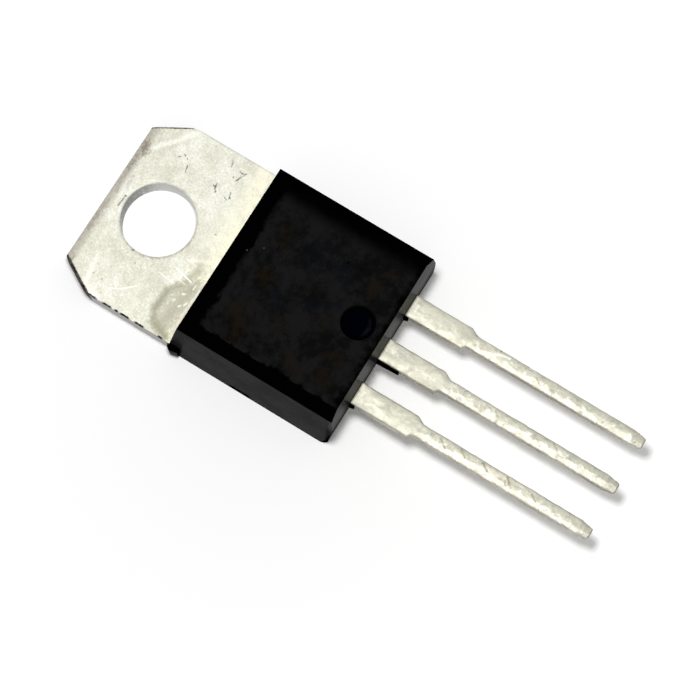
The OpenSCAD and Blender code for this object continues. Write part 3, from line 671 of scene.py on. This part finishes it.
def gridOnFaces(bm, wanted, xs, ys):
    # a grid of lines cut into the wanted faces, with the leftover triangle edges taken out again
    bmesh.ops.triangulate(bm, faces=[f for f in bm.faces if wanted(f)])
    orderFaces(bm)
    for x in xs:
        cutAt(bm, [f for f in bm.faces if wanted(f)], (x, 0, 0), (1, 0, 0))
    for y in ys:
        cutAt(bm, [f for f in bm.faces if wanted(f)], (0, y, 0), (0, 1, 0))
    spare = []
    for edge in bm.edges:
        if len(edge.link_faces) == 2 and all(wanted(f) for f in edge.link_faces) and edgeAngle(edge) < 0.01:
            a, b = edge.verts
            if abs(a.co.x - b.co.x) > 0.001 * mm and abs(a.co.y - b.co.y) > 0.001 * mm:
                spare.append(edge)
    bmesh.ops.dissolve_edges(bm, edges=spare, use_verts=False, use_face_split=False)


def spread(start, stop, step):
    count = int(round((stop - start) / step))
    return [start + (stop - start) * i / count for i in range(1, count)]


def ripple(x, y, size, seed):
    return noise.noise(Vector((x / size, y / size, seed)))


def finishPiece(bm, name, node, slot, sharpAngle=32):
    mesh = bpy.data.meshes.new(name)
    for face in bm.faces:
        face.smooth = True
        face.material_index = 0
    bm.to_mesh(mesh)
    bm.free()
    mesh.set_sharp_from_angle(angle=math.radians(sharpAngle))
    piece = bpy.data.objects.new(name, mesh)
    bpy.context.scene.collection.objects.link(piece)
    mesh.materials.append(materials[slot])
    weighted = piece.modifiers.new("evenShading", "WEIGHTED_NORMAL")
    weighted.keep_sharp = True
    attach(piece, "root")
    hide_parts(node)
    print("piece", name, len(mesh.polygons), "faces")
    return piece


# heat sink

tabShape = {
    "edgeRadius": 0.05, "rollRadius": 0.22, "gridStep": 0.16, "waviness": 0.008, "waveSize": 1.6,
    "ripple": 0.004, "rippleSize": 0.5,
    "dentCentre": (-3.1, -3.3), "dentReach": (2.1, 1.15), "dentDepth": 0.06, "dentRipple": 0.02,
}


def buildTab(shape):
    bm = meshOfNode("heat_sink_tab")
    wallY = places["wallAtTab"]
    top = places["tabTop"]
    cutAt(bm, bm.faces, (0, wallY, 0), (0, 1, 0))
    for face in bm.faces:
        face.material_index = 0 if face.calc_center_median().y > wallY * mm else 1
    joinFlatFaces(bm)

    def outside(vert):
        return vert.co.y > (wallY - 0.001) * mm

    sharp = [e for e in bm.edges if edgeAngle(e) > math.radians(20) and all(outside(v) for v in e.verts)
             and any(v.co.y > (wallY + 0.01) * mm for v in e.verts)]
    holeEdges = {e for e in sharp if all(v.co.xy.length < 2.2 * mm for v in e.verts)}
    roundEdges(bm, [e for e in sharp if e not in holeEdges], shape["edgeRadius"], 3)
    bm.normal_update()
    rolled = [e for e in bm.edges if math.radians(3) < edgeAngle(e) < math.radians(20)
              and all(v.co.y > 2.3 * mm and v.co.z > (top - 0.06) * mm for v in e.verts)
              and abs(e.verts[0].co.x - e.verts[1].co.x) > 3 * mm]
    print("end roll edges:", len(rolled))
    roundEdges(bm, rolled, shape["rollRadius"], 4)

    def topFace(face):
        return (face.normal.z > 0.98 and face.material_index == 0
                and face.calc_center_median().z > (top - 0.01) * mm)

    gridOnFaces(bm, topFace, spread(-5.0, 5.0, shape["gridStep"]), spread(wallY, 2.7, shape["gridStep"]))
    layers = {name: bm.faces.layers.float.new(name) for name in ("cut", "wall", "bore")}
    bm.normal_update()
    for face in bm.faces:
        centre = face.calc_center_median() / mm
        if face.material_index == 1 or abs(face.normal.z) > 0.6:
            continue
        if centre.xy.length < 2.0 and abs(face.normal.z) < 0.3:
            face[layers["bore"]] = 1.0
        elif (centre.xy.length > 2.3 and 0.9 < centre.y < 2.75
              and abs(centre.x) > 3.8 and abs(face.normal.y) > 0.2):
            face[layers["cut"]] = 1.0
        elif abs(face.normal.x) > 0.5 and abs(centre.x) > 4.9:
            face[layers["wall"]] = 1.0
    rim = {v for e in bm.edges for v in e.verts if edgeAngle(e) > math.radians(15)}
    cx, cy = shape["dentCentre"]
    rx, ry = shape["dentReach"]
    for vert in bm.verts:
        if vert in rim or vert.co.z < (top - 0.002) * mm or vert.co.y < (wallY + 0.02) * mm:
            continue
        x, y = vert.co.x / mm, vert.co.y / mm
        away = math.hypot((x - cx) / rx, (y - cy) / ry)
        dent = max(0.0, 1.0 - away * away)
        drop = shape["waviness"] * (ripple(x, y, shape["waveSize"], 3.1) + 1.0) * 0.5
        drop += shape["ripple"] * (ripple(x, y, shape["rippleSize"], 6.7) + 1.0) * 0.5
        drop += dent * (shape["dentDepth"] + shape["dentRipple"] * ripple(x, y, 0.45, 8.2))
        vert.co.z -= drop * mm
    return finishPiece(bm, "tabPlate", "heat_sink_tab", "tab_plating")


# leads

leadShape = {
    "edgeRadius": 0.08, "acrossLines": 7, "gridStep": 0.11, "crown": 0.03,
    # broad and small lumps: depth and size, both in millimetres
    "lump": (0.03, 0.46), "smallLump": (0.022, 0.19), "sideLump": (0.03, 0.4), "sideNick": (0.03, 0.17),
    "shoulderEnd": -16.4, "halfWide": 0.61, "halfThin": 0.405,
}


def buildLead(node, centreX, seed, shape):
    bm = meshOfNode(node)
    wallY = places["wallAtLeads"]
    top = places["leadTop"]
    cutAt(bm, bm.faces, (0, wallY, 0), (0, 1, 0))
    for face in bm.faces:
        face.material_index = 0 if face.calc_center_median().y < wallY * mm else 1
    joinFlatFaces(bm)
    sharp = [e for e in bm.edges if edgeAngle(e) > math.radians(20)
             and all(v.co.y < (wallY + 0.001) * mm for v in e.verts)
             and any(v.co.y < (wallY - 0.01) * mm for v in e.verts)]
    # the upright corners of the steps stay crisp
    sharp = [e for e in sharp
             if e.verts[0].co.y < -25.3 * mm or abs(e.verts[0].co.z - e.verts[1].co.z) < 0.3 * mm]
    roundEdges(bm, sharp, shape["edgeRadius"], 3)
    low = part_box(node)[0].y / mm

    def shown(face):
        return face.material_index == 0

    reach = 0.42
    lines = [centreX - reach / 2 + reach * i / (shape["acrossLines"] - 1)
             for i in range(shape["acrossLines"])]
    gridOnFaces(bm, shown, lines, spread(low, wallY, shape["gridStep"]))
    acrossLayer = bm.verts.layers.float.new("across")
    wallLayer = bm.faces.layers.float.new("wall")
    bm.normal_update()
    for face in bm.faces:
        if face.material_index == 0 and abs(face.normal.z) < 0.35:
            face[wallLayer] = 1.0
    lump, lumpSize = shape["lump"]
    small, smallSize = shape["smallLump"]
    sideLump, sideSize = shape["sideLump"]
    nick, nickSize = shape["sideNick"]
    for vert in bm.verts:
        x, y = vert.co.x / mm, vert.co.y / mm
        thin = min(1.0, max(0.0, (shape["shoulderEnd"] - y) / 0.4 + 0.35))
        half = shape["halfThin"] if y < shape["shoulderEnd"] else shape["halfWide"]
        share = max(-1.0, min(1.0, (x - centreX) / half))
        vert[acrossLayer] = share
        if y > wallY - 0.02:
            continue
        fade = min(1.0, (wallY - y) / 0.3)
        key = seed + (1.7 if share > 0 else 6.3)
        side = (sideLump * (ripple(y, key, sideSize, key) + 1.0) * 0.5
                + nick * thin * (ripple(y, key, nickSize, 2.9) + 1.0) * 0.5)
        if abs(share) > 0.75:
            vert.co.x -= math.copysign(side * fade * mm, share)
        if vert.co.z > (top - 0.1) * mm:
            drop = shape["crown"] * share * share
            drop += lump * (ripple(x, y, lumpSize, seed) + 1.0) * 0.5
            drop += small * thin * (ripple(x, y, smallSize, seed + 3.3) + 1.0) * 0.5
            vert.co.z -= drop * fade * mm
    return finishPiece(bm, node.replace("_lead", "Lead"), node, "lead_plating", 40)


# moulded body

bodyShape = {"edgeRadius": 0.07, "markRadius": 0.06}


def exposedFaces(bm):
    # faces that open air can reach; the walls of the cavities touch the parts inside
    tree = assemblyTree()
    ways = [Vector((a, b, c)).normalized()
            for a in (-1, 0, 1) for b in (-1, 0, 1) for c in (-1, 0, 1) if a or b or c]
    found = set()
    for face in bm.faces:
        start = face.calc_center_median() + face.normal * 0.002 * mm
        for way in ways:
            if way.dot(face.normal) > 0.1 and tree.ray_cast(start, way)[0] is None:
                found.add(face)
                break
    return found


def assemblyTree():
    verts, faces = [], []
    for node in nodes.values():
        base = len(verts)
        verts += [v.co.copy() for v in node.data.vertices]
        faces += [[base + i for i in p.vertices] for p in node.data.polygons]
    return BVHTree.FromPolygons(verts, faces)


def buildBody(shape):
    bm = meshOfNode("moulded_body")
    shown = exposedFaces(bm)
    for face in bm.faces:
        face.material_index = 0 if face in shown else 1
    joinFlatFaces(bm)
    wallY = places["wallAtLeads"]
    mark, outer = [], []
    for edge in bm.edges:
        if len(edge.link_faces) != 2 or edgeAngle(edge) < math.radians(20):
            continue
        kinds = [f.material_index for f in edge.link_faces]
        middle = (edge.verts[0].co + edge.verts[1].co) / (2 * mm)
        if kinds == [0, 0]:
            if abs(middle.x) < 1.2 and -12.7 < middle.y < -10.5 and middle.z > 4.2:
                mark.append(edge)
            elif middle.y > wallY - 0.02:
                outer.append(edge)
    print("body edges:", len(outer), "outer,", len(mark), "round the pin mark")
    roundEdges(bm, [e for e in mark if e.is_valid and min(v.co.z for v in e.verts) > 4.49 * mm],
               shape["markRadius"], 3)
    roundEdges(bm, [e for e in outer if e.is_valid], shape["edgeRadius"], 3)
    wallLayer = bm.faces.layers.float.new("wall")
    bm.normal_update()
    for face in bm.faces:
        centre = face.calc_center_median() / mm
        steep = face.material_index == 0 and abs(face.normal.z) < 0.4
        if steep and (face.calc_area() > 0.2 * mm * mm or abs(centre.x) < 4.9) and wallY - 0.05 < centre.y:
            face[wallLayer] = 1.0
        elif face.material_index == 0 and face.normal.z < -0.9:
            face[wallLayer] = 1.0
    return finishPiece(bm, "mouldedBody", "moulded_body", "moulding")


buildTab(tabShape)
for node, centreX, seed in (("anode1_lead", -2.54, 1.3), ("anode2_lead", 0.0, 5.9), ("gate_lead", 2.54, 9.4)):
    buildLead(node, centreX, seed, leadShape)
buildBody(bodyShape)

innerParts = {
    "solder": ["ceramic_solder_lower", "ceramic_solder_upper", "die_solder", "anode1_solder",
               "anode1_post_solder", "gate_solder", "gate_post_solder"],
    "alumina": ["ceramic_insulator"],
    "silicon": ["triac_die"],
    "bare_copper": ["anode1_clip", "gate_clip"],
}
for slot, members in innerParts.items():
    for member in members:
        nodes[member].data.materials.clear()
        nodes[member].data.materials.append(materials[slot])
print("inner parts finished")


# floor, light and camera

stageLook = {
    "radius": 260, "sides": 96, "middle": (0, -10), "white": 0.9, "drop": 0.01,
    # the lift evens out the fall of the light away from the lamp: (x, y) under it, reach, lift there and
    # far off
    "under": (-4, -9.5), "reach": 38, "lift": 0.09, "farLift": 0.4,
}


def buildFloor(look):
    bm = bmesh.new()
    bmesh.ops.create_circle(bm, cap_ends=True, segments=look["sides"], radius=look["radius"] * mm)
    bmesh.ops.translate(bm, verts=bm.verts,
                         vec=(look["middle"][0] * mm, look["middle"][1] * mm, -look["drop"] * mm))
    mesh = bpy.data.meshes.new("floor")
    bm.to_mesh(mesh)
    bm.free()
    floor = bpy.data.objects.new("floor", mesh)
    bpy.context.scene.collection.objects.link(floor)
    material = bpy.data.materials.new("paleFloor")
    material.use_nodes = True
    tree = material.node_tree
    tree.nodes.clear()
    diffuse = newNode(tree, "ShaderNodeBsdfDiffuse")
    diffuse.inputs["Color"].default_value = (look["white"], look["white"], look["white"], 1)
    glow = newNode(tree, "ShaderNodeEmission")
    path = newNode(tree, "ShaderNodeLightPath")
    seen = calc(tree, "MAXIMUM", path.outputs["Is Camera Ray"], path.outputs["Is Glossy Ray"])
    seen = calc(tree, "MAXIMUM", seen, path.outputs["Is Transmission Ray"])
    position = vectorCalc(tree, "SCALE", newNode(tree, "ShaderNodeTexCoord").outputs["Object"], scale=1 / mm)
    away = vectorCalc(tree, "SUBTRACT", position, (look["under"][0], look["under"][1], 0))
    away = vectorCalc(tree, "LENGTH", vectorCalc(tree, "MULTIPLY", away, (1, 1, 0)))
    lift = ease(tree, away, 0.0, look["reach"], look["lift"], look["farLift"])
    feed(tree, glow.inputs["Strength"], times(tree, seen, lift))
    both = newNode(tree, "ShaderNodeAddShader")
    feed(tree, both.inputs[0], diffuse.outputs[0])
    feed(tree, both.inputs[1], glow.outputs[0])
    output = newNode(tree, "ShaderNodeOutputMaterial")
    feed(tree, output.inputs["Surface"], both.outputs[0])
    mesh.materials.append(material)


lightLook = {
    "aim": (0, -10, 1), "keyPlace": (-4, -9.5, 66), "keyDiameter": 12, "keyPower": 0.0315,
    "world": 0.26, "horizon": 0.85, "horizonFrom": 0.35, "horizonTo": 0.85,
}


def buildLights(look):
    way = (Vector(look["keyPlace"]) - Vector(look["aim"])).normalized()
    data = bpy.data.lights.new("keyLight", "AREA")
    data.shape = "DISK"
    data.size = look["keyDiameter"] * mm
    data.energy = look["keyPower"]
    lamp = bpy.data.objects.new("keyLight", data)
    lamp.location = Vector(look["keyPlace"]) * mm
    lamp.visible_camera = False
    lamp.rotation_mode = "QUATERNION"
    lamp.rotation_quaternion = way.to_track_quat("Z", "Y")
    bpy.context.scene.collection.objects.link(lamp)
    world = bpy.data.worlds.new("softWorld")
    bpy.context.scene.world = world
    world.use_nodes = True
    tree = world.node_tree
    background = next(n for n in tree.nodes if n.type == "BACKGROUND")
    # plain soft light, with a pale surround that only the camera and reflections see
    path = newNode(tree, "ShaderNodeLightPath")
    seen = calc(tree, "MAXIMUM", path.outputs["Is Camera Ray"], path.outputs["Is Glossy Ray"])
    seen = calc(tree, "MAXIMUM", seen, path.outputs["Is Transmission Ray"])
    split = newNode(tree, "ShaderNodeSeparateXYZ")
    feed(tree, split.inputs[0], newNode(tree, "ShaderNodeTexCoord").outputs["Generated"])
    low = ease(tree, split.outputs["Z"], look["horizonFrom"], look["horizonTo"], 1.0, 0.0)
    pale = ease(tree, times(tree, seen, low), 0.0, 1.0, look["world"], look["horizon"])
    background.inputs["Color"].default_value = (1, 1, 1, 1)
    feed(tree, background.inputs["Strength"], pale)


# the camera's place in millimetres, and its three directions
cameraLook = {
    "place": (-19.1336, -22.1205, 96.8622), "right": (0.5228005, -0.8524266, 0.0069618),
    "down": (-0.8313129, -0.5116249, -0.2171609), "ahead": (0.1886756, 0.1077444, -0.9761110),
    "focalPixels": 2000, "pictureWidth": 700, "sensor": 36, "clip": (0.002, 5),
}


def buildCamera(look):
    data = bpy.data.cameras.new("camera")
    data.sensor_width = look["sensor"]
    data.lens = look["focalPixels"] / look["pictureWidth"] * look["sensor"]
    data.clip_start, data.clip_end = look["clip"]
    camera = bpy.data.objects.new("camera", data)
    turn = Matrix((look["right"], [-v for v in look["down"]], [-v for v in look["ahead"]])).transposed()
    camera.matrix_world = Matrix.Translation(Vector(look["place"]) * mm) @ turn.to_4x4()
    bpy.context.scene.collection.objects.link(camera)
    bpy.context.scene.camera = camera


buildFloor(stageLook)
buildLights(lightLook)
buildCamera(cameraLook)
bpy.context.scene.view_settings.view_transform = "Standard"
print("stage ready")
